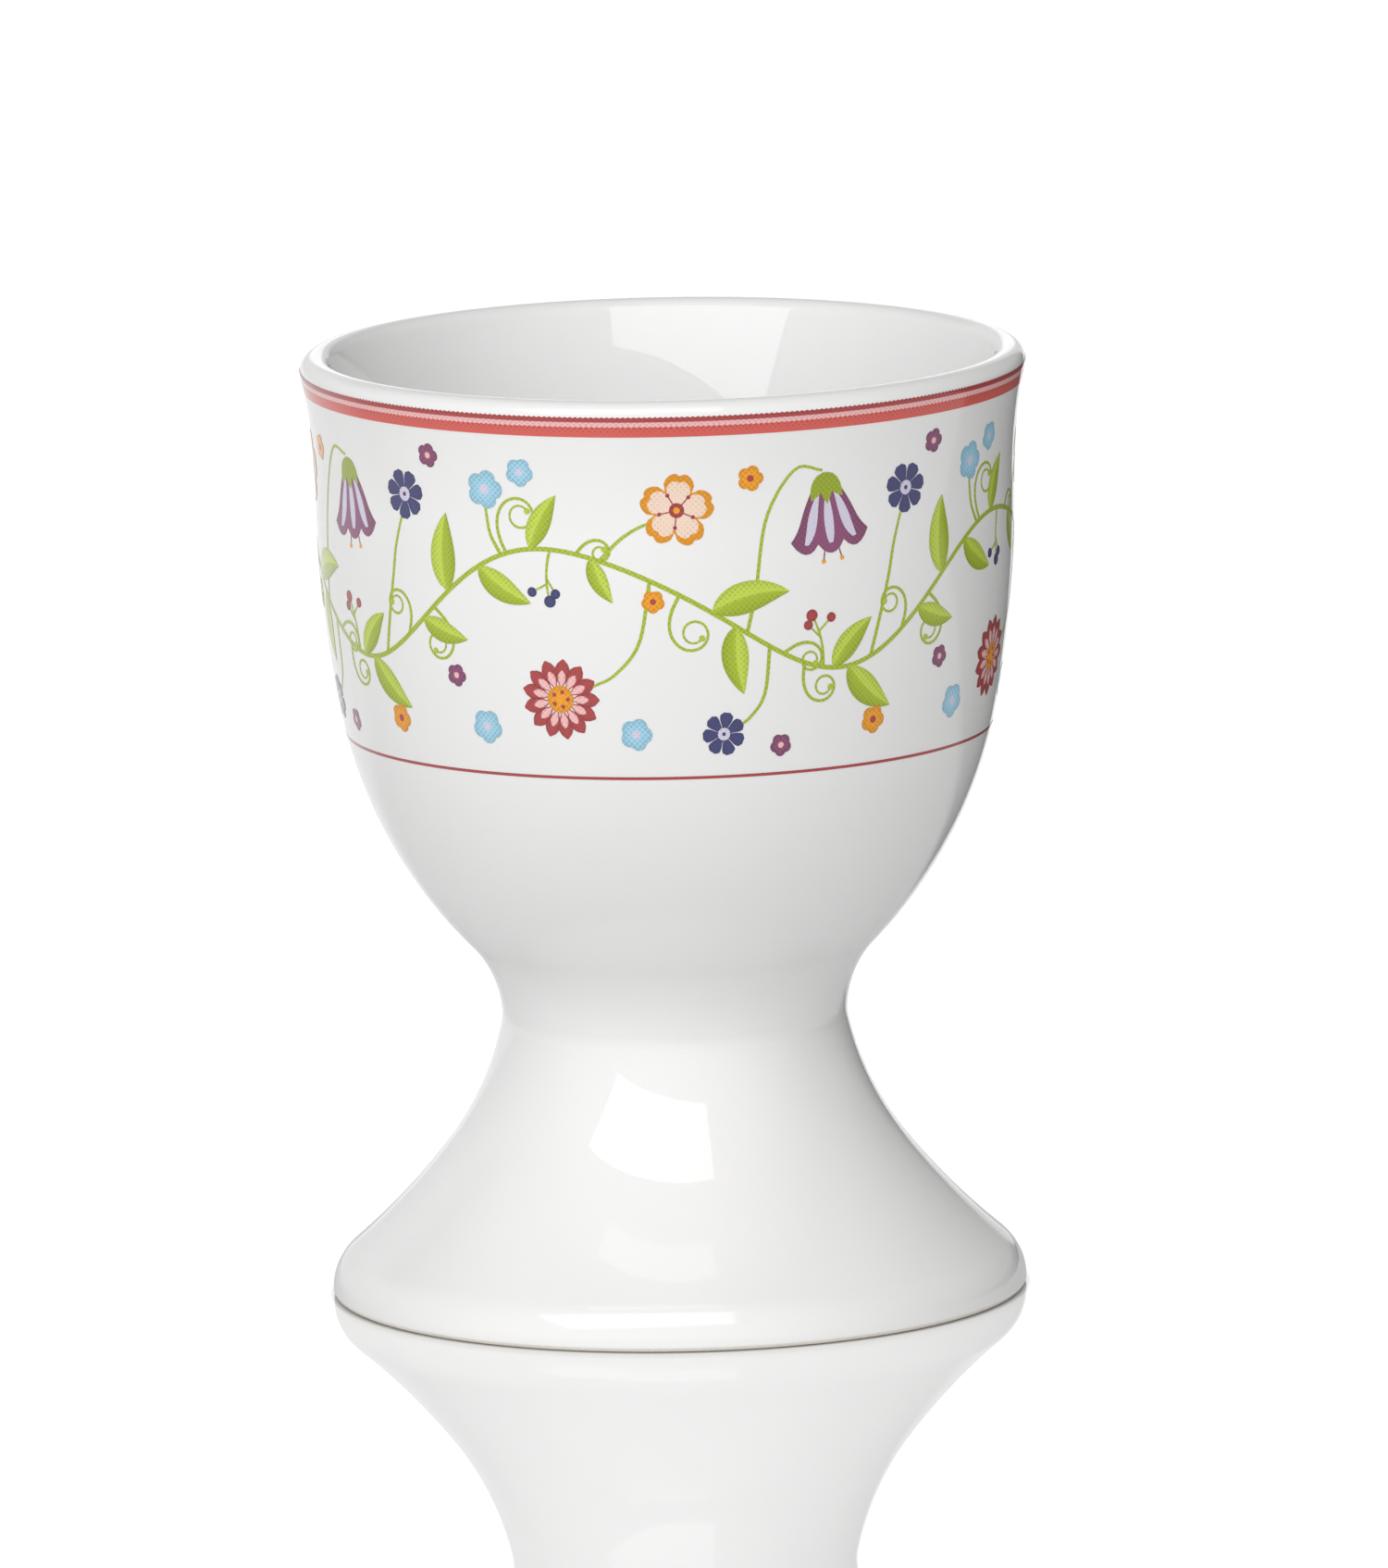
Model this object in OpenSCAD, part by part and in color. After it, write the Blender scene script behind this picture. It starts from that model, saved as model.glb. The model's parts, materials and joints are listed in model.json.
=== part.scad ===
// Footed egg cup in glazed porcelain: a bowl luted with slip to a hollow foot, with printed lines.
// Each piece is a section turned about the Z axis. A section is drawn with a compass: two arcs run
// smoothly into each other when their centres and the point where they meet lie on one line.
// The origin is on the axis, on the plane that the foot stands on. Lengths are in millimetres.

/* [Overall] */
// Height from the table to the lip
cup_h = 65; // [63:0.5:72]
// Outer diameter of the body where its side stands upright, below the flare of the lip
body_d = 47.6; // [46.6:0.1:49]
// Outer diameter of the foot
foot_d = 47.5; // [45:0.1:51]
// Diameter of the waist, where the bowl sits on the foot
waist_d = 23.6; // [22:0.2:25.6]
// Height of the joint between the foot and the bowl
joint_z = 19; // [17.5:0.25:20.5]

/* [Bowl] */
// How far the lip stands out past the upright side
lip_out = 0.9; // [0.6:0.05:1.4]
// Height of the lip above the place where the side stands upright
lip_rise = 9.5; // [8:0.5:11]
// Radius of the long curve of the side
side_r = 80; // [70:1:110]
// Radius of the round belly below it
belly_r = 31.5; // [29:0.5:34]
// Radius of the hollow curve from the belly down to the waist
neck_r = 7.5; // [5:0.5:10]
// Thickness of the wall at the lip, which is rounded over it
lip_t = 2.1; // [1.7:0.1:2.6]
// Thickness of the wall, measured level, where the inside stands upright
belly_t = 4.3; // [3.6:0.1:4.8]
// Thickness of the floor between the seat and the inside of the bowl
floor_t = 4; // [3:0.25:6]
// Diameter of the dished middle of the underside
dish_d = 14.4; // [10:0.2:15]
// Depth of the dish
dish_h = 0.8; // [0.4:0.1:1.6]

/* [Foot] */
// Angle between the side of the foot and the upright, where it meets the bowl
crease_a = 11; // [5:1:15]
// Radius of the hollow curve below the waist
stem_r = 21; // [14:1:26]
// Radius of the wider curve of the skirt
skirt_r = 48; // [40:1:70]
// Radius of the rounded shoulder above the rim of the foot
toe_r = 2.2; // [1.2:0.1:3]
// Height of the widest place of the foot, and radius of the edge below it
toe_h = 0.9; // [0.6:0.1:1.1]
// Wall thickness of the foot
foot_t = 3; // [2.6:0.1:3.4]
// Radius of the inner edge of the ring that stands on the table
tread_r = 0.8; // [0.4:0.1:0.9]

/* [Joint] */
// Thickness of the slip between the foot and the bowl
slip_t = 0.3; // [0.2:0.05:0.6]
// How far the slip lies back from the surface, which shows as a fine line
slip_sink = 0.06; // [0.02:0.01:0.2]
// Radius of the bead of slip squeezed out inside the foot
slip_bead = 0.7; // [0.4:0.1:0.9]

/* [Print] */
// Thickness of the printed colour on the glaze
print_t = 0.05; // [0.03:0.01:0.1]
// Distance from the lip down to the top edge of the print
print_drop = 0.95; // [0.8:0.05:3]
// Height of the narrow dark line at the top of the print
line_h = 0.36; // [0.2:0.02:0.6]
// Height of the pale hairline under it
hairline_h = 0.28; // [0.2:0.02:0.6]
// Height of the broad band under the hairline
band_h = 0.77; // [0.5:0.01:1.4]
// Height of the whole print, from its top edge to the bottom of the border line
print_h = 25.1; // [20:0.1:28]
// Height of the fine border line
border_h = 0.2; // [0.14:0.02:0.4]

/* [Hidden] */

// Largest distance between an arc and the straight steps that draw it
arc_tol = 0.004;
// Straight steps that draw the round bottom of the inside
hollow_steps = 48;
$fn = 180;

// How near the radius of the belly or of the side may come to that of the one arc that needs neither
fair_share = 0.9;
// Where the inside stands upright, as a share of the way from its floor up to where the outside does
wall_share = 0.53;

// Radii from the diameters above
body_r = body_d / 2;
rim_r = body_r + lip_out;
foot_r = foot_d / 2;
waist_r = waist_d / 2;
dish_r = dish_d / 2;
lip_r = lip_t / 2;

// The point in one direction from a centre
function spoke(c, r, a) = c + r * [cos(a), sin(a)];

// The points of an arc without its first one, so that one arc can follow another
function arc(c, r, from_a, to_a) =
  let (steps = ceil(abs(to_a - from_a) / (2 * acos(1 - arc_tol / r))))
  [for (i = [1:steps]) spoke(c, r, from_a + (to_a - from_a) * i / steps)];

// The direction from one point to another, from 0 to 360 degrees
function bearing(from, to) =
  let (a = atan2(to.y - from.y, to.x - from.x)) a < 0 ? a + 360 : a;

// The crossing of two circles that lies on the left of the way from the first centre to the second
function crossing(c1, r1, c2, r2) =
  let (gap = norm(c2 - c1), way = (c2 - c1) / gap)
  let (along = (r1 * r1 - r2 * r2 + gap * gap) / (2 * gap))
  c1 + along * way + sqrt(r1 * r1 - along * along) * [-way.y, way.x];

// The direction from a centre to the left-hand side of its circle, at one height
function left_a(c, r, z) = 180 - asin((z - c.y) / r);

// How far the right-hand side of a circle lies from the axis, at one height
function right_x(c, r, z) = c.x + sqrt(r * r - (z - c.y) * (z - c.y));

// The points, without the first, of a quarter of an ellipse, upright at its top and level on the axis
function hollow(top, bottom) =
  [for (i = [1:hollow_steps])
    let (a = 90 * i / hollow_steps)
    [top.x * cos(a), top.y - (top.y - bottom.y) * sin(a)]];

// Bowl: one arc could run from the neck to the upright place. The belly is rounder and the side flatter
seat_z = joint_z + slip_t / 2;
body_z = cup_h - lip_rise;
neck_c = [waist_r + neck_r, joint_z];
fair_in = body_r - neck_c.x;
fair_up = body_z - joint_z;
fair_r = (fair_in * fair_in + fair_up * fair_up - neck_r * neck_r) / (2 * (neck_r + fair_in));
round_r = min(belly_r, fair_r * fair_share);
long_r = max(side_r, fair_r / fair_share);
// Bowl: where its outer arcs are centred, from the waist up
side_c = [body_r - long_r, body_z];
belly_c = crossing(side_c, long_r - round_r, neck_c, neck_r + round_r);
// The lip is half a circle across the wall, and the flare is the arc that meets both it and the side
lip_c = [rim_r - lip_r, cup_h - lip_r];
lip_in = body_r - lip_c.x;
lip_up = lip_c.y - body_z;
flare_r = (lip_in * lip_in + lip_up * lip_up - lip_r * lip_r) / (2 * lip_out);
flare_c = [body_r + flare_r, body_z];
// Directions in which one arc gives way to the next
seat_a = left_a(neck_c, neck_r, seat_z);
neck_a = bearing(neck_c, belly_c);
side_a = bearing(side_c, belly_c) - 360;
lip_a = bearing(flare_c, lip_c);

// Bowl: the inside is round up to where it stands upright, and from there the mouth arc opens to the lip
floor_z = seat_z + floor_t;
wall_z = floor_z + wall_share * (body_z - floor_z);
side_low = spoke(side_c, long_r, side_a);
wall_out = wall_z > side_low.y ? right_x(side_c, long_r, wall_z) : right_x(belly_c, round_r, wall_z);
cavity_r = wall_out - belly_t;
mouth_in = lip_c.x - cavity_r;
mouth_up = lip_c.y - wall_z;
mouth_r = (mouth_in * mouth_in + mouth_up * mouth_up - lip_r * lip_r) / (2 * (mouth_in - lip_r));
mouth_c = [cavity_r + mouth_r, wall_z];
mouth_a = bearing(mouth_c, lip_c);
// The dish under the floor is part of a circle on the axis
dish_round_r = (dish_r * dish_r + dish_h * dish_h) / (2 * dish_h);
dish_c = [0, seat_z + dish_h - dish_round_r];

// Foot: where its arcs are centred, from the waist down
foot_top = joint_z - slip_t / 2;
stem_c = spoke([waist_r, joint_z], stem_r, crease_a);
toe_c = [foot_r - toe_r, toe_h];
edge_c = [foot_r - toe_h, toe_h];
skirt_c = crossing(stem_c, skirt_r - stem_r, toe_c, skirt_r + toe_r);
toe_a = bearing(toe_c, skirt_c);
skirt_a = bearing(skirt_c, stem_c);
// Foot: its inside follows the outside at the thickness of the wall, down to the inner edge
stem_in_r = stem_r + foot_t;
skirt_in_r = skirt_r + foot_t;
tread_c = spoke(skirt_c, skirt_in_r - tread_r, left_a(skirt_c, skirt_in_r - tread_r, tread_r));
foot_in = spoke(stem_c, stem_in_r, left_a(stem_c, stem_in_r, foot_top)).x;

// Print: heights of its edges, measured down from the lip
print_top = cup_h - print_drop;
line_z = print_top - line_h;
hairline_z = line_z - hairline_h;
band_z = hairline_z - band_h;
border_z = print_top - print_h;

// The outside of the bowl from the seat to the top of the lip, moved outwards by a thickness
function bowl_side(thick) = concat(
  [spoke(neck_c, neck_r - thick, seat_a)],
  arc(neck_c, neck_r - thick, seat_a, neck_a),
  arc(belly_c, round_r + thick, neck_a - 180, side_a),
  arc(side_c, long_r + thick, side_a, 0),
  arc(flare_c, flare_r - thick, 180, lip_a),
  arc(lip_c, lip_r + thick, lip_a - 180, 0),
  arc(lip_c, lip_r + thick, 0, 90)
);

// Half section of the bowl: up the outside, over the lip, down the inside and across the dish
module bowl_section() {
  polygon(concat(
    bowl_side(0),
    arc(lip_c, lip_r, 90, mouth_a),
    arc(mouth_c, mouth_r, mouth_a, 180),
    hollow([cavity_r, wall_z], [0, floor_z]),
    [[0, seat_z + dish_h]],
    arc(dish_c, dish_round_r, 90, acos(dish_r / dish_round_r))
  ));
}

// Half section of the foot: round the toe, up the outside, across the seat and down the inside
module foot_section() {
  polygon(concat(
    [[edge_c.x, 0]],
    arc(edge_c, toe_h, -90, 0),
    arc(toe_c, toe_r, 0, toe_a),
    arc(skirt_c, skirt_r, toe_a + 180, skirt_a),
    arc(stem_c, stem_r, skirt_a, left_a(stem_c, stem_r, foot_top)),
    [[foot_in, foot_top]],
    arc(stem_c, stem_in_r, left_a(stem_c, stem_in_r, foot_top), skirt_a),
    arc(skirt_c, skirt_in_r, skirt_a, bearing(skirt_c, tread_c)),
    arc(tread_c, tread_r, bearing(skirt_c, tread_c), 270)
  ));
}

// One ring of printed colour, which lies on the outside of the bowl between two heights
module print_ring(low_z, high_z) {
  rotate_extrude() intersection() {
    difference() {
      polygon(concat(bowl_side(print_t), [[0, cup_h + print_t], [0, seat_z]]));
      polygon(concat(bowl_side(0), [[0, cup_h], [0, seat_z]]));
    }
    translate([0, low_z]) square([rim_r + print_t, high_z - low_z]);
  }
}

module bowl() {
  color("#eceeed") rotate_extrude() bowl_section();
}

module foot() {
  color("#e4e6e4") rotate_extrude() foot_section();
}

// The slip fills the joint and stands out inside as a bead, under the bowl and against the foot
module slip_joint() {
  color("#cfcfc8") rotate_extrude() difference() {
    union() {
      translate([foot_in, foot_top]) square([waist_r - slip_sink - foot_in, slip_t]);
      intersection() {
        translate([foot_in, seat_z]) circle(slip_bead);
        translate([0, seat_z - slip_bead]) square([waist_r, slip_bead]);
      }
    }
    foot_section();
  }
}

module rim_line() {
  color("#a83a3e") print_ring(line_z, print_top);
}

module rim_hairline() {
  color("#f5b5b5") print_ring(hairline_z, line_z);
}

module rim_band() {
  color("#c8504f") print_ring(band_z, hairline_z);
}

module border_line() {
  color("#b0454a") print_ring(border_z, border_z + border_h);
}

bowl();
foot();
slip_joint();
rim_line();
rim_hairline();
rim_band();
border_line();
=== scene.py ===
"""White porcelain egg cup with a printed flower border: its glaze, its print and a small studio.

It is laid out as a Blender add-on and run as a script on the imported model. Every size is in
millimetres in the sums and in metres in the scene. The bowl and the foot are drawn by the sums of
the part's source, so their surfaces lie where the solids' do. Only the rim of the foot has a rounder
shoulder and a sharper edge, and glaze fills the corner at the joint.
"""

import json
from collections import namedtuple
from types import SimpleNamespace

import bpy
import numpy as np
from bpy.props import FloatProperty, FloatVectorProperty, PointerProperty
from mathutils import Matrix, Vector

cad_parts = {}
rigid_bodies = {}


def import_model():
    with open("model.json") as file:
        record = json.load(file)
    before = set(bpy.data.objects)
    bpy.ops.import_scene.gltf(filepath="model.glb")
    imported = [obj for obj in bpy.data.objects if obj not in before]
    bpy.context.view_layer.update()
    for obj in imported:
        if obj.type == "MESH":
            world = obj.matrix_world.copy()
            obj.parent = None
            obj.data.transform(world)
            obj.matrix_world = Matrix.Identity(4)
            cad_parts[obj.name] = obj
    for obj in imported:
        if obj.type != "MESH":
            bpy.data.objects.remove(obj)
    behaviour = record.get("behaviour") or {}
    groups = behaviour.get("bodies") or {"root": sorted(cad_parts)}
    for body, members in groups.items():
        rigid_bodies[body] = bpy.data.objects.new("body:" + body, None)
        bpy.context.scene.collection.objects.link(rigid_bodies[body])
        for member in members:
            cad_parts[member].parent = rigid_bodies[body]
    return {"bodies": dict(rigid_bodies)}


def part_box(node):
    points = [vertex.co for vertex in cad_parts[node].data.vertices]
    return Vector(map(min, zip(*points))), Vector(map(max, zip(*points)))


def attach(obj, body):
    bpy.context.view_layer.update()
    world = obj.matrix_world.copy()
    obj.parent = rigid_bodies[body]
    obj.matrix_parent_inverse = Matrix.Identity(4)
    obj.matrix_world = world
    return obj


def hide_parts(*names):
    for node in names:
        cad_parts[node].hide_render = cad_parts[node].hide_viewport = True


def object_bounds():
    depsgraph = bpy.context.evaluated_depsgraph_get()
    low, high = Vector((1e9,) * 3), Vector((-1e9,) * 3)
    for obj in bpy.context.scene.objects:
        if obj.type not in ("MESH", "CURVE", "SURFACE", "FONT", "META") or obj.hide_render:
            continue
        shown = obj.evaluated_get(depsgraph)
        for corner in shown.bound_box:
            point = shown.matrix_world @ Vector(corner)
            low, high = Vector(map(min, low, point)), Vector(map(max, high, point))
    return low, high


bl_info = {
    "name": "Printed Porcelain Egg Cup",
    "version": (1, 0, 0),
    "blender": (4, 5, 0),
    "location": "View3D > Sidebar > Egg Cup",
    "description": "Glazes and prints a porcelain egg cup on its packed frame and lights it",
    "category": "Add Mesh",
}

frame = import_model()
CAD_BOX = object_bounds()
BODY = next(iter(frame["bodies"]))
MM = 0.001
# Degrees that the camera looks down
CAMERA_DOWN = 9.7


def linear(code):
    """sRGB hex to linear red, green, blue: below 0.04045 a twelfth of it, above it a 2.4 power."""
    rgb = np.array([int(code[i : i + 2], 16) / 255 for i in (0, 2, 4)])
    return tuple(np.where(rgb <= 0.04045, rgb / 12.92, ((rgb + 0.055) / 1.055) ** 2.4))


def length(name, description, value):
    """A size property, given in millimetres and kept in metres."""
    return FloatProperty(
        name=name, description=description, default=value * MM, unit="LENGTH", precision=5, step=0.01
    )


def paint(name, description, code):
    """A colour property, given as sRGB hex and kept linear."""
    return FloatVectorProperty(
        name=name, description=description, default=linear(code), subtype="COLOR", size=3, min=0, max=1
    )


def top_of(node):
    """The height of the top of a CAD node, in millimetres."""
    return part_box(node)[1].z / MM


def bottom_of(node):
    """The height of the bottom of a CAD node, in millimetres."""
    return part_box(node)[0].z / MM


class CupSizes(bpy.types.PropertyGroup):
    """The sizes of the bowl, the foot and the slip. They have the names and values of the part's
    source, except that the toe has the radius and height that its highlight shows, and that the
    pool of glaze and the bare rim are added."""

    cup_h: length("Height", "From the table to the lip", CAD_BOX[1].z / MM)
    body_d: length("Body", "Outer diameter where the side stands upright", 47.6)
    lip_out: length("Lip flare", "How far the lip stands out past the upright side", 0.9)
    lip_rise: length("Lip rise", "Height of the lip above the upright place", 9.5)
    lip_t: length("Lip", "Thickness of the wall at the lip", 2.1)
    belly_t: length("Wall", "Thickness of the wall where the inside stands upright", 4.3)
    floor_t: length("Floor", "Thickness between the seat and the inside", 4.0)
    side_r: length("Side radius", "Radius of the long curve of the side", 80.0)
    belly_r: length("Belly radius", "Radius of the round belly", 31.5)
    neck_r: length("Neck radius", "Radius of the hollow curve down to the waist", 7.5)
    dish_d: length("Dish", "Diameter of the dished middle of the underside", 14.4)
    dish_h: length("Dish depth", "Depth of that dish", 0.8)
    waist_d: length("Waist", "Diameter where the bowl sits on the foot", 23.6)
    joint_z: length("Joint height", "Height of the joint above the table", 19.0)
    foot_d: length("Foot", "Outer diameter of the foot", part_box("foot")[1].x * 2 / MM)
    foot_t: length("Foot wall", "Wall thickness of the foot", 3.0)
    stem_r: length("Stem radius", "Radius of the hollow curve below the waist", 21.0)
    skirt_r: length("Skirt radius", "Radius of the wider curve of the skirt", 48.0)
    toe_r: length("Toe radius", "Radius of the shoulder above the rim of the foot", 3.5)
    toe_h: length("Toe height", "Height of the widest place of the foot", 0.45)
    tread_r: length("Tread radius", "Radius of the inner edge of the standing ring", 0.8)
    bare_h: length("Bare rim", "Height up to which the rim of the foot has no glaze", 0.3)
    slip_t: length("Slip", "Thickness of the slip in the joint", 0.3)
    pool_r: length("Glaze pool", "Radius of the glaze that fills the corner at the joint", 3.4)
    slip_bead: length("Slip bead", "Radius of the bead inside the foot", 0.7)


class CupInks(bpy.types.PropertyGroup):
    """The colours of the print."""

    band: paint("Band", "The broad band under the lip", "DC6158")
    crimson: paint("Crimson", "The lines and the daisy", "B04546")
    rose: paint("Rose", "The hairline and the pale petals", "F8C0C0")
    orange: paint("Orange", "The wild rose and small flowers", "F7A51E")
    apricot: paint("Apricot", "The inside of the wild rose", "F7DCC8")
    plum: paint("Plum", "The bellflower", "8F5076")
    lavender: paint("Lavender", "The bands of the bellflower and pale eyes", "D9D4E8")
    navy: paint("Navy", "The cornflowers", "454677")
    sky: paint("Sky", "The forget-me-nots", "A5D8EF")
    vine_green: paint("Vine green", "Stems, veins and tendrils", "B5CC3A")
    leaf_green: paint("Leaf green", "The shaded half of a leaf", "A9BE2E")
    leaf_lime: paint("Leaf lime", "The lit half of a leaf", "C5DC4E")


def in_mm(group):
    """The group's sizes in millimetres, under their own names."""
    return SimpleNamespace(**{name: getattr(group, name) / MM for name in group.__annotations__})


# Sections, as rows of radius and height

# Faces round the cup in a turned surface
AROUND = 320
# Where the inside of the bowl stands upright, as a share of the way from its floor to where the outside does
WALL_SHARE = 0.53
# Angle between the side of the foot and the upright at the joint, in degrees
CREASE = 11
# How far the pool of glaze reaches under the glaze of the bowl and of the foot
POOL_LAP = 0.01
# The round of the bead goes down this share of the way to where it would be this near the wall
BEAD_SHARE, BEAD_NEAR = 0.93, 0.12


def spoke(centre, radius, angle):
    """Centre plus radius times (cos, sin) of the angle in degrees, for one angle or many."""
    a = np.radians(np.atleast_1d(angle))
    return np.asarray(centre) + radius * np.stack([np.cos(a), np.sin(a)], 1)


def arc(centre, radius, start, end):
    """Points along an arc without its first one, at most 0.5 mm and 2.5 degrees apart."""
    turn = abs(end - start)
    steps = max(int(np.ceil(turn / 2.5)), int(np.ceil(np.radians(turn) * radius / 0.5)), 1)
    return spoke(centre, radius, start + (end - start) * np.arange(1, steps + 1) / steps)


def bearing(start, end):
    """The direction from one point to another, from 0 to 360 degrees."""
    d = np.asarray(end) - np.asarray(start)
    return np.degrees(np.arctan2(d[1], d[0])) % 360


def crossing(c1, r1, c2, r2):
    """Where two circles cross, on the left of the way from the first centre to the second."""
    c1, c2 = np.asarray(c1, float), np.asarray(c2, float)
    gap = np.linalg.norm(c2 - c1)
    way = (c2 - c1) / gap
    along = (r1 * r1 - r2 * r2 + gap * gap) / (2 * gap)
    return c1 + along * way + np.sqrt(r1 * r1 - along * along) * np.array([-way[1], way[0]])


def left_angle(centre, radius, z):
    """The direction from a centre to the left-hand side of its circle, at one height."""
    return 180 - np.degrees(np.arcsin((z - centre[1]) / radius))


def bowl_arcs(s):
    """The centres, radii and angles of the bowl's tangent arcs, worked out as in the source."""
    b = SimpleNamespace(neck_r=s.neck_r, belly_r=s.belly_r, side_r=s.side_r, lip_r=s.lip_t / 2)
    b.body_r = s.body_d / 2
    b.rim_r = b.body_r + s.lip_out
    b.body_z = s.cup_h - s.lip_rise
    b.seat_z = s.joint_z + s.slip_t / 2
    b.neck_c = np.array([s.waist_d / 2 + s.neck_r, s.joint_z])
    b.side_c = np.array([b.body_r - s.side_r, b.body_z])
    b.belly_c = crossing(b.side_c, s.side_r - s.belly_r, b.neck_c, s.neck_r + s.belly_r)
    b.lip_c = np.array([b.rim_r - b.lip_r, s.cup_h - b.lip_r])
    lip_in, lip_up = b.body_r - b.lip_c[0], b.lip_c[1] - b.body_z
    b.flare_r = (lip_in**2 + lip_up**2 - b.lip_r**2) / (2 * s.lip_out)
    b.flare_c = np.array([b.body_r + b.flare_r, b.body_z])
    b.seat_a = left_angle(b.neck_c, s.neck_r, b.seat_z)
    b.neck_a = bearing(b.neck_c, b.belly_c)
    b.side_a = bearing(b.side_c, b.belly_c) - 360
    b.lip_a = bearing(b.flare_c, b.lip_c)
    b.neck_z = spoke(b.neck_c, s.neck_r, b.neck_a)[0, 1]
    b.belly_z = spoke(b.side_c, s.side_r, b.side_a)[0, 1]
    b.lip_z = spoke(b.lip_c, b.lip_r, b.lip_a - 180)[0, 1]
    return b


def wall(s, z, lift=0.0):
    """The bowl's outside at heights z, lift proud of it: (radius, height, radial and upright
    parts of the outward direction). Each height falls on one arc, whose centre gives both."""
    b = bowl_arcs(s)
    z = np.asarray(z, float)
    sets = [
        (b.neck_c, -b.neck_r, z < b.neck_z),
        (b.belly_c, b.belly_r, (z >= b.neck_z) & (z < b.belly_z)),
        (b.side_c, b.side_r, (z >= b.belly_z) & (z < b.body_z)),
        (b.flare_c, -b.flare_r, (z >= b.body_z) & (z < b.lip_z)),
        (b.lip_c, b.lip_r, z >= b.lip_z),
    ]
    chosen = [m for _, _, m in sets]
    c_r = np.select(chosen, [c[0] for c, _, _ in sets])
    c_z = np.select(chosen, [c[1] for c, _, _ in sets])
    radius = np.select(chosen, [np.full(z.shape, r) for _, r, _ in sets])
    up = (z - c_z) / radius
    out = np.sqrt(np.clip(1 - up**2, 0, 1))
    r = c_r + radius * out
    return r + lift * out, z + lift * up, out, up


def bowl_section(s):
    """From the axis across the dish, up the outside, over the lip and down the inside. The inside
    is an arc from the lip to the place where it stands upright, and a quarter of an ellipse below."""
    b = bowl_arcs(s)
    dish_r = s.dish_d / 2
    round_r = (dish_r**2 + s.dish_h**2) / (2 * s.dish_h)
    dish_c = np.array([0, b.seat_z + s.dish_h - round_r])
    seat = spoke(b.neck_c, b.neck_r, b.seat_a)
    edge = np.array([[dish_r, b.seat_z]])
    flat = edge + (seat - edge) * np.linspace(0, 1, 10)[1:-1, None]
    floor_z = b.seat_z + s.floor_t
    wall_z = floor_z + WALL_SHARE * (b.body_z - floor_z)
    cavity_r = float(wall(s, wall_z)[0]) - s.belly_t
    mouth_in, mouth_up = b.lip_c[0] - cavity_r, b.lip_c[1] - wall_z
    mouth_r = (mouth_in**2 + mouth_up**2 - b.lip_r**2) / (2 * (mouth_in - b.lip_r))
    mouth_c = np.array([cavity_r + mouth_r, wall_z])
    mouth_a = bearing(mouth_c, b.lip_c)
    t = np.radians(90) * np.linspace(0, 1, 60)[1:]
    hollow = np.stack([cavity_r * np.cos(t), wall_z - (wall_z - floor_z) * np.sin(t)], 1)
    hollow[-1, 0] = 0
    line = [
        [[0, b.seat_z + s.dish_h]],
        arc(dish_c, round_r, 90, np.degrees(np.arccos(dish_r / round_r))),
        flat,
        seat,
        arc(b.neck_c, b.neck_r, b.seat_a, b.neck_a),
        arc(b.belly_c, b.belly_r, b.neck_a - 180, b.side_a),
        arc(b.side_c, b.side_r, b.side_a, 0),
        arc(b.flare_c, b.flare_r, 180, b.lip_a),
        arc(b.lip_c, b.lip_r, b.lip_a - 180, 0),
        arc(b.lip_c, b.lip_r, 0, 90),
        arc(b.lip_c, b.lip_r, 90, mouth_a),
        arc(mouth_c, mouth_r, mouth_a, 180),
        hollow,
    ]
    return np.concatenate(line)


def foot_arcs(s):
    """The centres, radii and angles of the foot's tangent arcs, worked out as in the source."""
    f = SimpleNamespace(top=s.joint_z - s.slip_t / 2)
    f.stem_c = spoke((s.waist_d / 2, s.joint_z), s.stem_r, CREASE)[0]
    f.toe_c = np.array([s.foot_d / 2 - s.toe_r, s.toe_h])
    f.edge_c = np.array([s.foot_d / 2 - s.toe_h, s.toe_h])
    f.skirt_c = crossing(f.stem_c, s.skirt_r - s.stem_r, f.toe_c, s.skirt_r + s.toe_r)
    f.toe_a = bearing(f.toe_c, f.skirt_c)
    f.skirt_a = bearing(f.skirt_c, f.stem_c)
    f.stem_a = left_angle(f.stem_c, s.stem_r, f.top)
    f.stem_in_r = s.stem_r + s.foot_t
    f.stem_in_a = left_angle(f.stem_c, f.stem_in_r, f.top)
    f.skirt_in_r = s.skirt_r + s.foot_t
    inner = f.skirt_in_r - s.tread_r
    f.tread_c = spoke(f.skirt_c, inner, left_angle(f.skirt_c, inner, s.tread_r))[0]
    f.tread_a = bearing(f.skirt_c, f.tread_c)
    f.inner = spoke(f.stem_c, f.stem_in_r, f.stem_in_a)[0, 0]
    return f


def foot_section(s):
    """A closed section: from the standing ring round the toe, up the outside, across the seat,
    down the inside at the thickness of the wall and round the inner edge."""
    f = foot_arcs(s)
    seat = spoke(f.stem_c, s.stem_r, f.stem_a)
    ring = np.array([[f.tread_c[0], 0.0], [f.edge_c[0], 0.0]])
    inner = np.array([[f.inner, f.top]])
    line = [
        ring[:1] + (ring[1:] - ring[:1]) * np.linspace(0, 1, 5)[1:, None],
        arc(f.edge_c, s.toe_h, -90, 0),
        arc(f.toe_c, s.toe_r, 0, f.toe_a),
        arc(f.skirt_c, s.skirt_r, f.toe_a + 180, f.skirt_a),
        arc(f.stem_c, s.stem_r, f.skirt_a, f.stem_a),
        seat + (inner - seat) * np.linspace(0, 1, 7)[1:, None],
        arc(f.stem_c, f.stem_in_r, f.stem_in_a, f.skirt_a),
        arc(f.skirt_c, f.skirt_in_r, f.skirt_a, f.tread_a),
        arc(f.tread_c, s.tread_r, f.tread_a, 270),
    ]
    return np.concatenate(line)


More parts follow.
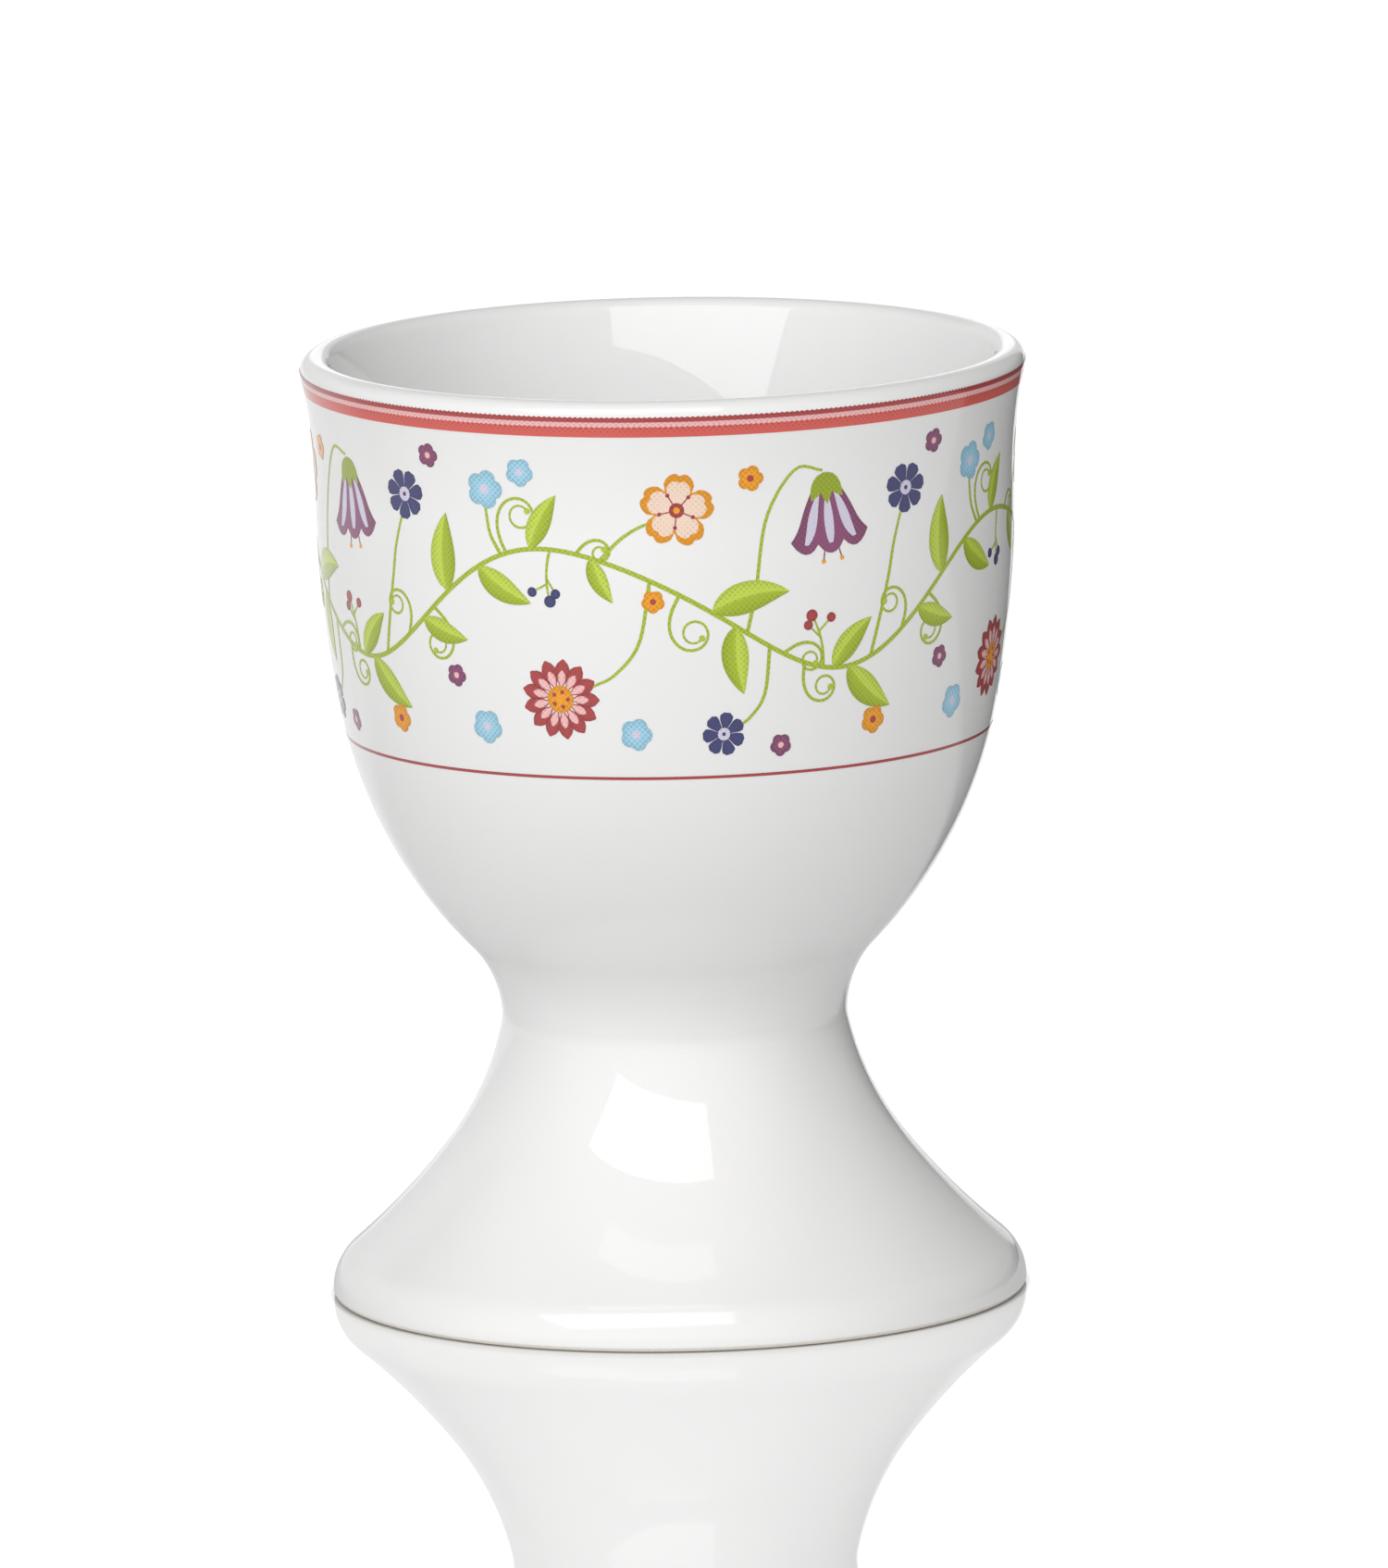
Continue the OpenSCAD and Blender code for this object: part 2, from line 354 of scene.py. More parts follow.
def slip_section(s):
    """A closed section: glaze that pools in the corner of the joint, as an arc tangent to the bowl
    above and to the foot below, then back under both to the thin disc of slip between them, and
    the bead of slip that stands out inside the foot."""
    b, f = bowl_arcs(s), foot_arcs(s)
    pool_c = crossing(b.neck_c, s.neck_r - s.pool_r, f.stem_c, s.stem_r - s.pool_r)
    top_a, low_a = bearing(b.neck_c, pool_c), bearing(f.stem_c, pool_c)
    bead_c = np.array([f.inner, b.seat_z])
    low = 180 + BEAD_SHARE * np.degrees(np.arccos(BEAD_NEAR / s.slip_bead))
    line = [
        arc(pool_c, s.pool_r, low_a, top_a),
        arc(b.neck_c, b.neck_r + POOL_LAP, top_a, b.seat_a),
        [[f.inner - s.slip_bead, b.seat_z]],
        arc(bead_c, s.slip_bead, 180, low),
        [[f.inner, f.top]],
        arc(f.stem_c, s.stem_r + POOL_LAP, f.stem_a, low_a),
    ]
    return np.concatenate(line)


# The print's pattern, drawn flat in millimetres, round the bowl and up from the border line.
# A shape is a pair of its ink's name and its patch

# Radius of the bowl that the print is drawn for
PRINT_R = 23.8
# Repeats of the border round the bowl, and the length of one
CELLS = 4
PERIOD = 2 * np.pi * PRINT_R / CELLS
# Radians that the start of the border lies round the bowl
BORDER_TURN = -2.265
# Dots of the printer's screen along the edge of a line that goes all round
SCREEN_DOTS = 430
# Rows of points across such a line, and the shade of its high edge
RING_ROWS, RING_SHADE = 4, 0.7
# Height over the glaze of the lowest layer of print, of each layer over another, and of the underside
PRINT_LIFT, LAYER_LIFT, PRINT_UNDER = 0.02, 0.005, -0.01

Patch = namedtuple("Patch", "points faces edges layer")


def around_loop(loop):
    """The edges of a closed loop of points."""
    return np.stack([loop, np.roll(loop, -1)], 1)


def spline(stops):
    """A smooth line through the stops: between two of them a cubic, with half the step between
    their neighbours as its slope at each."""
    p = np.asarray(stops, float)
    p = np.concatenate([2 * p[:1] - p[1:2], p, 2 * p[-1:] - p[-2:-1]])
    t = np.linspace(0, len(stops) - 1, 24)
    i = np.minimum(t.astype(int), len(stops) - 2)
    f = (t - i)[:, None]
    a, b, c, d = p[i], p[i + 1], p[i + 2], p[i + 3]
    square, cube = 2 * a - 5 * b + 4 * c - d, 3 * b - a - 3 * c + d
    return 0.5 * (2 * b + (c - a) * f + square * f**2 + cube * f**3)


def curl(start, heading, reach, turns, tighten=1.8, count=44):
    """A line that winds up: its heading in degrees grows by the turns times the share of the way
    along it to a power, and its points add up from equal steps that way."""
    t = (np.arange(count) + 0.5) / count
    a = np.radians(heading + 360 * turns * t**tighten)
    steps = np.stack([np.cos(a), np.sin(a)], 1) * reach / count
    return np.concatenate([[start], np.asarray(start) + np.cumsum(steps, 0)])


def grid(points, shade, layer):
    """A patch of print from rows of points: its corners with their shade, quads and outer loop."""
    rows, cols = points.shape[:2]
    flat = np.concatenate([points, np.broadcast_to(shade, (rows, cols))[..., None]], 2).reshape(-1, 3)
    k = np.arange(rows * cols).reshape(rows, cols)
    faces = np.stack([k[:-1, :-1], k[:-1, 1:], k[1:, 1:], k[1:, :-1]], -1).reshape(-1, 4)
    loop = np.concatenate([k[0, :-1], k[:-1, -1], k[-1, :0:-1], k[:0:-1, 0]])
    return Patch(flat, [faces], around_loop(loop), layer)


def strip(line, width, low=-1.0, high=1.0, across=2, shade=0.5, layer=0):
    """A band along a line: the line plus its left-hand normal times half the width times a share
    that runs from low to high. The shade grows with the share, away from the line."""
    step = np.gradient(line, axis=0)
    side = np.stack([-step[:, 1], step[:, 0]], 1) / np.linalg.norm(step, axis=1, keepdims=True)
    u = np.linspace(low, high, across)
    half = np.broadcast_to(width, len(line))[:, None, None] / 2
    return grid(line[:, None] + side[:, None] * u[None, :, None] * half, shade * np.abs(u)[None], layer)


def disc(centre, radius, shade, layer, count=18, rings=2):
    """A round patch: at each angle the rim is the radius, one number or one for each angle, and
    the rings are shares of it."""
    t = 2 * np.pi * np.arange(count) / count
    share = np.arange(1, rings + 1)[:, None] / rings
    r = np.broadcast_to(radius, count) * share
    points = np.stack([r * np.cos(t), r * np.sin(t), shade * share + 0 * r], -1).reshape(-1, 3)
    points = np.concatenate([points, [[0, 0, 0]]])
    points[:, :2] += centre
    k = np.arange(count)
    after = (k + 1) % count
    fan = np.stack([np.full(count, rings * count), k, after], 1)
    inner = count * np.arange(rings - 1)[:, None]
    bands = np.stack([inner + k, inner + count + k, inner + count + after, inner + after], -1)
    return Patch(points, [fan, bands.reshape(-1, 4)], around_loop((rings - 1) * count + k), layer)


def taper(count, width, start, end, fullest, blunt=0.8):
    """Widths along a leaf: the sine of half a turn over its length to a power, its fullest place
    moved along, and never less than the start and end values."""
    t = np.linspace(0, 1, count) ** (np.log(0.5) / np.log(fullest))
    w = width * np.clip(np.sin(np.pi * t), 0, 1) ** blunt
    ends = np.linspace(start, end, count)
    return np.maximum(np.maximum(w, ends), 0.05)


def leaf(base, heading, size, breadth, bend):
    """A leaf: two halves in two tones on either side of a bent midrib, with a fine vein."""
    line = curl(base, heading - bend / 2, size, bend / 360, 1.0, 11)
    w = taper(len(line), breadth, 0.12, 0.05, 0.42, 0.85)
    return [
        ("leaf_lime", strip(line, w, 0, 1, 3, 0.9, 1)),
        ("leaf_green", strip(line, w, -1, 0, 3, 0.9, 1)),
        ("vine_green", strip(line[:-1], np.linspace(0.2, 0.06, len(line) - 1), layer=2)),
    ]


def ray(centre, angle, near, far, count):
    """A straight line of points away from a centre, at an angle in degrees."""
    return np.asarray(centre) + spoke((0, 0), 1, angle) * np.linspace(near, far, count)[:, None]


def petals(ink, centre, inner, outer, breadth, fullest, layer):
    """Thirteen petals round a centre, each a tapered band from the inner to the outer radius."""
    w = taper(8, breadth, 0.1, 0.1, fullest, 0.7)
    angles = 360 * np.arange(13) / 13
    return [(ink, strip(ray(centre, a, inner, outer, 8), w, -1, 1, 3, 0.8, layer)) for a in angles]


def daisy(centre, radius):
    """A daisy: long narrow petals, a shorter row of pale ones over them, and a dotted eye."""
    made = petals("crimson", centre, 0.25 * radius, radius, 0.38 * radius, 0.62, 1)
    made += petals("rose", centre, 0.3 * radius, 0.72 * radius, 0.2 * radius, 0.6, 2)
    made.append(("orange", disc(centre, 0.34 * radius, 0.9, 3)))
    for spot in spoke(centre, 0.19 * radius, 72 * np.arange(5)):
        made.append(("crimson", disc(spot, 0.045 * radius + 0.03, 0.5, 4, 8, 1)))
    return made


def rose(centre, radius, turn):
    """A wild rose: five notched petals, a pale inner round and a ring of fine stamens."""
    t = 2 * np.pi * np.arange(60) / 60
    lobe = np.abs(np.cos(2.5 * t))
    notch = np.exp(-(((1 - lobe) / 0.03) ** 2))
    rim = radius * np.roll(0.58 + 0.42 * lobe**0.55 - 0.09 * notch, int(turn / 6))
    made = [("orange", disc(centre, rim, 0.9, 1, 60, 3))]
    made.append(("apricot", disc(centre, 0.8 * rim, 0.4, 2, 60, 3)))
    for a in turn + 36 + 72 * np.arange(5):
        line = ray(centre, a, 0.15 * radius, 0.46 * radius, 4)
        made.append(("crimson", strip(line, 0.09, layer=3)))
        made.append(("crimson", disc(line[-1], 0.15, 0.5, 3, 8, 1)))
    made.append(("crimson", disc(centre, 0.2 * radius, 0.9, 4, 14, 2)))
    made.append(("orange", disc(centre, 0.09 * radius, 0.5, 5, 8, 1)))
    return made


def bell(top, heading, size):
    """A bellflower that hangs along its heading: a flared bell with three pale bands and a
    pointed hem, under a small calyx, with its tongue showing."""
    a = np.radians(heading)
    axes = size * np.array([[np.cos(a), np.sin(a)], [-np.sin(a), np.cos(a)]])

    def place(x, y):
        """Points from shares of the size: x down the bell and y to its left."""
        return np.asarray(top) + np.stack(np.broadcast_arrays(x, y), -1) @ axes

    t = np.linspace(0, 1, 12)
    half = 0.13 + 0.17 * np.sin(np.pi * np.minimum(t * 1.5, 1) / 2) + 0.2 * t**3.2
    u = np.linspace(-1, 1, 19)
    hem = 0.12 * np.abs(np.cos(1.5 * np.pi * u)) ** 0.8
    x = 0.1 + t[:, None] * (0.72 + hem[None] - 0.08 * u[None] ** 2)
    made = [("plum", grid(place(x, half[:, None] * u[None]), 0.8 * np.abs(u)[None], 1))]
    for c in (-0.62, 0.0, 0.62):
        v = np.linspace(-1, 1, 4)
        w = 0.17 * np.sin(np.pi * np.clip(t * 0.92 + 0.04, 0, 1)) ** 0.7 + 0.01
        share = c + w[:, None] * v[None]
        xs = 0.16 + t[:, None] * (0.66 - 0.06 * share**2)
        made.append(("lavender", grid(place(xs, half[:, None] * share), 0.3 * np.abs(v)[None], 2)))
    for lean in (-34, 0, 34):
        line = curl(np.asarray(top), heading + lean, 0.36 * size, 0.0, 1, 5)
        w = taper(len(line), 0.17 * size, 0.2, 0.05, 0.4)
        made.append(("leaf_green", strip(line, w, layer=3, shade=0.8)))
    for off in (-0.12, 0.12):
        line = place(np.array([0.86, 0.94, 1.02]), off * np.array([0.7, 0.85, 1]))
        made.append(("plum", strip(line, 0.09)))
        made.append(("orange", disc(line[-1], 0.16, 0.5, 1, 8, 1)))
    return made


def small_flower(centre, radius, ink, eye, turn):
    """A small flower: a disc whose rim swells with each of five petals, and a round eye."""
    t = 2 * np.pi * np.arange(40) / 40
    rim = radius * (0.78 + 0.22 * np.abs(np.cos(2.5 * t + np.radians(turn))) ** 0.7)
    return [(ink, disc(centre, rim, 0.9, 1, 40, 2)), (eye, disc(centre, 0.27 * radius, 0.4, 2, 10, 1))]


def cornflower(centre, radius, turn):
    """A cornflower: wedge petals that widen to their ends, and a pale eye with a dark middle."""
    w = np.array([0.16, 0.24, 0.36, 0.5, 0.6, 0.62, 0.3]) * radius
    made = []
    for a in turn + 360 * np.arange(7) / 7:
        made.append(("navy", strip(ray(centre, a, 0.12 * radius, radius, 7), w, -1, 1, 3, 0.6, 1)))
    made.append(("lavender", disc(centre, 0.3 * radius, 0.4, 2, 12, 1)))
    made.append(("navy", disc(centre, 0.1 * radius, 0.4, 3, 6, 1)))
    return made


def stalk(line, thick, thin):
    """A stem that thins along its line."""
    return [("vine_green", strip(line, np.linspace(thick, thin, len(line)), shade=0.7))]


def tendril(start, heading, reach, turns):
    """A tendril that winds up and ends in a dot."""
    line = curl(start, heading, reach, turns)
    return stalk(line, 0.24, 0.13) + [("vine_green", disc(line[-1], 0.22, 0.5, 1, 10, 1))]


def berries(base, heading, reach, ink):
    """A bent twig with a berry at its end and one on a short stalk at either side of it."""
    line = curl(base, heading, reach, 0.09, 1.0, 9)
    made = stalk(line, 0.2, 0.13)
    made.append((ink, disc(line[-1], 0.42, 0.9, 1, 14, 2)))
    for at, lean in ((5, 48), (6, -44)):
        side = curl(line[at], heading + lean, 0.34 * reach, 0.0, 1.0, 3)
        made += stalk(side, 0.15, 0.12)
        made.append((ink, disc(side[-1], 0.34, 0.9, 1, 14, 2)))
    return made


def vine_height(s):
    """The height of the main vine: a sine wave with a slight second swell."""
    w = 2 * np.pi * np.asarray(s) / PERIOD
    return 11.6 + 4.3 * np.sin(w) + 0.5 * np.sin(2 * w + 0.6)


def on_vine(s):
    """A point of the main vine and its heading in degrees."""
    slope = (vine_height(s + 0.01) - vine_height(s - 0.01)) / 0.02
    return np.array([s, float(vine_height(s))]), float(np.degrees(np.arctan(slope)))


def border_cell():
    """One repeat of the flower border, all its shapes by ink."""
    s = np.linspace(0, PERIOD, 90)
    made = stalk(np.stack([s, vine_height(s)], 1), 0.32, 0.32)

    # Leaves on the vine: place along it, lean from its heading, length, breadth, bend
    for at, lean, size, breadth, bend in (
        (0.6, 50, 5.4, 2.1, -30),
        (3.2, -62, 4.6, 1.8, 30),
        (7.2, 58, 4.2, 1.6, -24),
        (11.4, -48, 3.4, 1.3, 26),
        (19.6, 44, 5.6, 2.2, -36),
        (21.2, -50, 4.8, 1.9, 30),
        (28.4, 52, 4.4, 1.7, -26),
        (29.6, -46, 5.0, 2.0, 34),
        (35.6, -58, 4.0, 1.6, 24),
    ):
        p, way = on_vine(at)
        made += leaf(p, way + lean, size, breadth, bend)

    # Stalks of the flowers, each from the vine to the flower's foot
    for at, *stops in (
        (15.4, (14.6, 9.4), (12.9, 7.2), (11.2, 6.3)),
        (12.0, (13.4, 16.4), (14.6, 17.2), (15.6, 17.6)),
        (22.0, (22.6, 12.6), (23.4, 17.6), (25.4, 20.8), (27.4, 20.6)),
        (31.4, (32.7, 12.6), (33.2, 15.0), (33.9, 17.2)),
        (23.6, (23.3, 5.6), (22.3, 4.0), (21.2, 3.3)),
        (5.0, (4.2, 16.6), (3.9, 18.4)),
    ):
        made += stalk(spline([on_vine(at)[0], *stops]), 0.26, 0.18)

    # Tendrils: place along the vine, lean from its heading, reach, turns
    for at, lean, reach, turns in (
        (5.4, 100, 11.0, -1.5),
        (17.4, -92, 11.0, 1.5),
        (26.2, -78, 9.0, 1.5),
        (34.0, 30, 9.0, 1.55),
        (36.6, -76, 10.0, -1.5),
        (10.4, 66, 6.0, -1.3),
        (24.6, 62, 8.0, -1.45),
    ):
        p, way = on_vine(at)
        made += tendril(p, way + lean, reach, turns)

    # Berries: place along the vine, lean from its heading, reach, ink
    for at, lean, reach, ink in ((8.6, -104, 3.6, "navy"), (27.6, 100, 3.8, "crimson")):
        p, way = on_vine(at)
        made += berries(p, way + lean, reach, ink)

    made += daisy((8.9, 5.4), 2.8)
    made += rose((17.3, 18.4), 2.6, 12)
    made += bell((27.6, 20.4), -84, 5.9)
    made += cornflower((34.3, 18.7), 1.7, 10)
    made += cornflower((20.4, 2.9), 1.5, 30)

    # Small flowers by petal and eye: their centre, radius and turn
    for ink, eye, flowers in (
        ("sky", "lavender", ((3.9, 19.6, 1.35, 0), (6.6, 20.9, 1.0, 30))),
        ("sky", "lavender", ((14.2, 3.0, 1.15, 10), (3.0, 3.2, 1.2, 40))),
        ("orange", "crimson", ((22.3, 20.4, 0.9, 0), (32.0, 3.0, 1.0, 20), (15.6, 12.2, 0.8, 50))),
        ("plum", "rose", ((36.8, 21.6, 0.85, 0), (0.8, 6.6, 0.8, 20), (24.6, 1.9, 0.8, 50))),
    ):
        for x, y, r, turn in flowers:
            made += small_flower((x, y), r, ink, eye, turn)
    return made


# Meshes


def add_mesh(name, points, faces, material):
    """An object at the origin from points in millimetres and rows of corners. It rides on the cup."""
    mesh = bpy.data.meshes.new(name)
    mesh.from_pydata((points * MM).tolist(), [], [f for rows in faces for f in rows.tolist()])
    mesh.polygons.foreach_set("use_smooth", np.ones(len(mesh.polygons), bool))
    mesh.materials.append(material)
    mesh.update()
    mesh.set_sharp_from_angle(angle=np.radians(35))
    made = bpy.data.objects.new(name, mesh)
    bpy.context.scene.collection.objects.link(made)
    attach(made, BODY)
    return made


def turned(section):
    """A section turned about the axis: (r cos t, r sin t, z). A section that ends on the axis gets
    one point at each pole, and any other is closed on itself. Faces look to the right of its way."""
    poles = section[0, 0] < 1e-6 and section[-1, 0] < 1e-6
    rows = section[1:-1] if poles else section
    t = 2 * np.pi * np.arange(AROUND) / AROUND
    r, z = rows[:, :1], rows[:, 1:]
    points = np.stack([r * np.cos(t), r * np.sin(t), z + 0 * t], -1).reshape(-1, 3)
    n = len(rows)
    i, j = np.meshgrid(np.arange(n - 1 if poles else n), np.arange(AROUND), indexing="ij")
    a, b = (i * AROUND + j).ravel(), (i * AROUND + (j + 1) % AROUND).ravel()
    c, d = ((i + 1) % n * AROUND + (j + 1) % AROUND).ravel(), ((i + 1) % n * AROUND + j).ravel()
    faces = [np.stack([a, b, c, d], 1)]
    if poles:
        low, high = n * AROUND, n * AROUND + 1
        points = np.concatenate([points, [[0, 0, section[0, 1]], [0, 0, section[-1, 1]]]])
        k = np.arange(AROUND)
        first, last = k, (n - 1) * AROUND + k
        after = (k + 1) % AROUND
        faces.append(np.stack([np.full(AROUND, low), after, first], 1))
        faces.append(np.stack([np.full(AROUND, high), last, (n - 1) * AROUND + after], 1))
    return points, faces


def wipe_ring(mesh, height):
    """Leaves the faces whose middle lies below a height in millimetres bare of glaze."""
    mesh.materials.append(bare_porcelain())
    middle = np.empty(3 * len(mesh.polygons))
    mesh.polygons.foreach_get("center", middle)
    mesh.polygons.foreach_set("material_index", (middle[2::3] < height * MM).astype(np.int32))


def print_ring(high, tooth, layer):
    """A band all round, from zero to a high edge that dips by the tooth between the screen's dots:
    high less the tooth times a power of the absolute sine, which is zero at each dot."""
    k = np.arange(4 * SCREEN_DOTS)
    t = 2 * np.pi * k / len(k)
    edge = high - tooth * np.abs(np.sin(SCREEN_DOTS * t / 2)) ** 1.5
    share = np.linspace(0, 1, RING_ROWS)[:, None]
    h = share * edge
    points = np.stack([PRINT_R * t + 0 * h, h, RING_SHADE * share + 0 * h], -1).reshape(-1, 3)
    i, after = len(k) * np.arange(RING_ROWS - 1)[:, None], (k + 1) % len(k)
    faces = np.stack([i + k, i + after, i + len(k) + after, i + len(k) + k], -1).reshape(-1, 4)
    top = len(k) * (RING_ROWS - 1)
    edges = np.concatenate([np.stack([k, after], 1), np.stack([top + after, top + k], 1)])
    return Patch(points, [faces], edges, layer)


def add_print(name, patches, s, foot_z, finish, repeats=1, turn=0.0):
    """Shells of print on the wall. A point (s, h) lies at the angle s over the print's radius and
    at the height h above the foot of the pattern. The tops stand proud of the glaze by the lift
    of their layer, the bottoms lie under it and rims join the two. Tops and rims shade with the
    wall's own outward direction, so a highlight runs on over them."""
    sheet = np.concatenate([p.points for p in patches])
    lift = np.concatenate([np.full(len(p.points), PRINT_LIFT + LAYER_LIFT * p.layer) for p in patches])
    tops, edges, n = [], [], 0
    for p in patches:
        corners = [p.points[rows] for rows in p.faces]
        pairs = [(c, np.roll(c, -1, 1)) for c in corners]
        areas = [(c[..., 0] * d[..., 1] - d[..., 0] * c[..., 1]).sum(1) for c, d in pairs]
        left = sum(np.sign(a).sum() for a in areas) > 0
        tops += [(rows if left else rows[:, ::-1]) + n for rows in p.faces]
        edges.append((p.edges if left else p.edges[:, ::-1]) + n)
        n += len(p.points)
    a, b = np.concatenate(edges).T
    rims = np.stack([b, a, a + n, b + n], 1)
    under = [rows[:, ::-1] + n for rows in tops]
    angle = turn + sheet[:, 0] / PRINT_R
    points, faces, normals = [], [], []
    for k in range(repeats):
        t = angle + 2 * np.pi * k / repeats
        across = np.stack([np.cos(t), np.sin(t)], 1)
        for rise in (lift, PRINT_UNDER):
            r, z, out, up = wall(s, foot_z + sheet[:, 1], rise)
            points.append(np.column_stack([across * r[:, None], z]))
        outward = np.tile(np.column_stack([across * out[:, None], up]), (2, 1))
        for sign, group in ((1, [*tops, rims]), (-1, under)):
            faces += [rows + 2 * n * k for rows in group]
            normals += [sign * outward[rows].reshape(-1, 3) for rows in group]
    made = add_mesh(name, np.concatenate(points), faces, finish)
    made.data.normals_split_custom_set(np.concatenate(normals).tolist())
    kept = made.data.attributes.new("sheet", "FLOAT_VECTOR", "POINT")
    kept.data.foreach_set("vector", np.tile(sheet, (2 * repeats, 1)).ravel())
    return made


# Materials

WHITE = (1.0, 1.0, 1.0, 1.0)
# Settings of a Map Range node whose ramp starts and ends smoothly
SMOOTH = {"interpolation_type": "SMOOTHSTEP"}
# Settings of a shader for a matt ceramic body under a clear coat of glaze
GLAZED = {
    "in_Roughness": 0.5,
    "in_IOR": 1.5,
    "in_Specular_IOR_Level": 0.1,
    "in_Coat_Weight": 1.0,
    "in_Coat_IOR": 1.55,
}
# Distance between the dots of the printer's screen
DOT_PITCH = 0.28


def node(tree, kind, links=(), **settings):
    """Adds a node, sets its properties and its inputs, and links its inputs. A setting that starts
    with in_ is an input, by its name or, where names repeat, by its number."""
    made = tree.nodes.new(kind)
    for key, value in settings.items():
        if key.startswith("in_"):
            name = key[3:].replace("_", " ")
            socket = made.inputs[int(name)] if name.isdigit() else made.inputs[name]
            socket.default_value = value
        else:
            setattr(made, key, value)
    for socket, source in dict(links).items():
        tree.links.new(source, made.inputs[socket])
    return made


def material(name):
    """An empty node material and its output's surface socket."""
    made = bpy.data.materials.new(name)
    made.use_nodes = True
    made.node_tree.nodes.clear()
    out = made.node_tree.nodes.new("ShaderNodeOutputMaterial")
    return made, made.node_tree, out.inputs["Surface"]


def rgba(colour):
    """A colour with full alpha."""
    return (*colour, 1.0)


def mottled(tree, at, size, detail, low, high):
    """Noise of a size in millimetres, and the colour between two tones that follows it."""
    noise = node(tree, "ShaderNodeTexNoise", {"Vector": at}, in_Scale=1 / (size * MM), in_Detail=detail)
    ends = {"in_6": rgba(linear(low)), "in_7": rgba(linear(high))}
    tone = node(tree, "ShaderNodeMix", {"Factor": noise.outputs["Fac"]}, data_type="RGBA", **ends)
    return noise.outputs["Fac"], tone.outputs[2]


def glazed_porcelain(name, low, high):
    """Hard white porcelain, slip cast and dipped: a cool white body, a little uneven over 25 mm,
    under a clear glossy glaze that lies in soft waves of 5 mm, so the edges of reflections wander."""
    made, tree, out = material(name)
    at = node(tree, "ShaderNodeTexCoord").outputs["Object"]
    tone = mottled(tree, at, 25, 2.0, low, high)[1]
    waves = node(tree, "ShaderNodeTexNoise", {"Vector": at}, in_Scale=1 / (5 * MM), in_Detail=1.0)
    height = {"Height": waves.outputs["Fac"]}
    soft = node(tree, "ShaderNodeBump", height, in_Strength=1.0, in_Distance=0.006 * MM)
    surface = {"Base Color": tone, "Coat Normal": soft.outputs["Normal"]}
    shader = node(tree, "ShaderNodeBsdfPrincipled", surface, **GLAZED, in_Coat_Roughness=0.025)
    tree.links.new(shader.outputs[0], out)
    return made


def bare_porcelain():
    """Fired porcelain body where the glaze was wiped off so that the foot wouldn't stick to the
    kiln shelf: matt, a touch warmer, with a fine ground grain of 0.2 mm."""
    made, tree, out = material("bare_porcelain")
    at = node(tree, "ShaderNodeTexCoord").outputs["Object"]
    grain, tone = mottled(tree, at, 0.2, 3.0, "DDD8CE", "F0ECE4")
    rough = node(tree, "ShaderNodeBump", {"Height": grain}, in_Strength=1.0, in_Distance=0.02 * MM)
    surface = {"Base Color": tone, "Normal": rough.outputs["Normal"]}
    shader = node(tree, "ShaderNodeBsdfPrincipled", surface, in_Roughness=0.8)
    tree.links.new(shader.outputs[0], out)
    return made


def ceramic_ink(name, colour):
    """Ceramic colour, screen printed in dots on a transfer and fired into the glaze: flat and
    glossy, with darker dots in rows at 45 degrees that grow towards a shape's edge. A dot is where
    the distance from its middle is less than a share of the shade."""
    made, tree, out = material(name)
    sheet = node(tree, "ShaderNodeAttribute", attribute_name="sheet").outputs["Vector"]
    shade = node(tree, "ShaderNodeSeparateXYZ", {0: sheet}).outputs["Z"]
    fine = (1 / DOT_PITCH, 1 / DOT_PITCH, 1)
    turn = (0, 0, np.radians(45))
    slanted = node(tree, "ShaderNodeMapping", {"Vector": sheet}, in_Rotation=turn, in_Scale=fine)
    dots = node(
        tree, "ShaderNodeTexVoronoi", {"Vector": slanted.outputs[0]}, voronoi_dimensions="2D",
        in_Scale=1.0, in_Randomness=0.0,
    )
    size = node(tree, "ShaderNodeMath", {0: shade}, operation="MULTIPLY", in_1=0.62)
    depth = {0: size.outputs[0], 1: dots.outputs["Distance"]}
    inside = node(tree, "ShaderNodeMath", depth, operation="SUBTRACT")
    dot = node(
        tree, "ShaderNodeMath", {0: inside.outputs[0]}, operation="MULTIPLY_ADD", use_clamp=True,
        in_1=6.0, in_2=0.5,
    )
    ends = {"in_6": rgba(colour), "in_7": rgba([c * 0.74 for c in colour])}
    tone = node(tree, "ShaderNodeMix", {"Factor": dot.outputs[0]}, data_type="RGBA", **ends)
    surface = {"Base Color": tone.outputs[2]}
    shader = node(tree, "ShaderNodeBsdfPrincipled", surface, **GLAZED, in_Coat_Roughness=0.04)
    tree.links.new(shader.outputs[0], out)
    return made


# Operators


class EGGCUP_OT_body(bpy.types.Operator):
    """Turn the glazed bowl, the foot and the slip between them"""

    bl_idname = "eggcup.body"
    bl_label = "Bowl and Foot"

    def execute(self, context):
        s = in_mm(context.scene.cup_sizes)
        glaze = glazed_porcelain("glazed_porcelain", "F0F1F1", "F5F5F5")
        slip = glazed_porcelain("glazed_slip", "EFF0F0", "F4F4F4")
        for name, section, finish, slot in (
            ("bowl", bowl_section(s), glaze, "glazed_porcelain"),
            ("foot", foot_section(s), glaze, "glazed_porcelain"),
            ("slip_joint", slip_section(s), slip, "fired_slip"),
        ):
            made = add_mesh(name + "_glazed", *turned(section), finish)
            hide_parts(name)
            if name == "foot":
                wipe_ring(made.data, s.bare_h)
        return {"FINISHED"}


